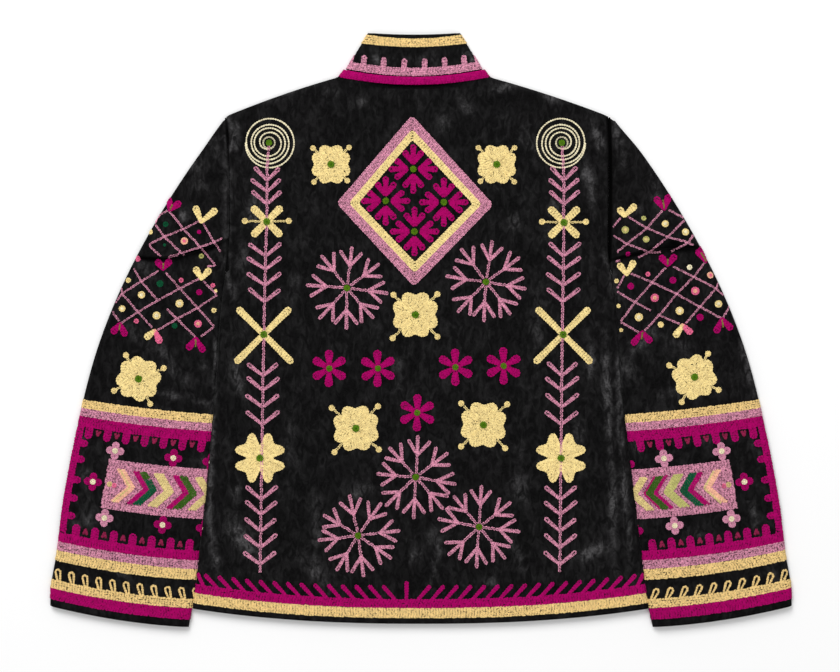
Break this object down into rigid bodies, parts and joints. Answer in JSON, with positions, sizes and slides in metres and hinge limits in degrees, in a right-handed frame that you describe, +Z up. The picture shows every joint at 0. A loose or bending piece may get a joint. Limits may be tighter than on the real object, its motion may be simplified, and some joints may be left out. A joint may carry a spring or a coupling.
{
  "type": "embroidered velvet jacket",
  "caption": "Boxy velvet jacket with a stand collar and wide sleeves, embroidered in chain stitch, laid flat with its back upwards.",
  "frame": {"origin": "on the surface the jacket lies on, under the middle of its outline seen from above", "axes": "+X across the back towards the right sleeve, +Y towards the collar, +Z up from the surface"},
  "size_m": [0.861, 0.688, 0.014],
  "materials": {
    "back_velvet": "black cotton velvet, matt in the pile with a soft sheen where it is brushed",
    "front_left_velvet": "black cotton velvet",
    "front_right_velvet": "black cotton velvet",
    "sleeve_left_velvet": "black cotton velvet",
    "sleeve_right_velvet": "black cotton velvet",
    "collar_velvet": "black cotton velvet",
    "magenta_thread": "chain stitch in matt magenta cotton thread",
    "yellow_thread": "chain stitch in matt pale yellow cotton thread",
    "mauve_thread": "chain stitch in matt mauve cotton thread",
    "green_thread": "chain stitch in matt olive green cotton thread",
    "accent_thread": "chain stitch in matt salmon, teal and lime cotton threads"
  },
  "bodies": {
    "root": {"back": "back_velvet", "front_left": "front_left_velvet", "front_right": "front_right_velvet", "sleeve_left": "sleeve_left_velvet", "sleeve_right": "sleeve_right_velvet", "collar": "collar_velvet", "collar_band": "magenta_thread"}
  },
  "joints": []
}
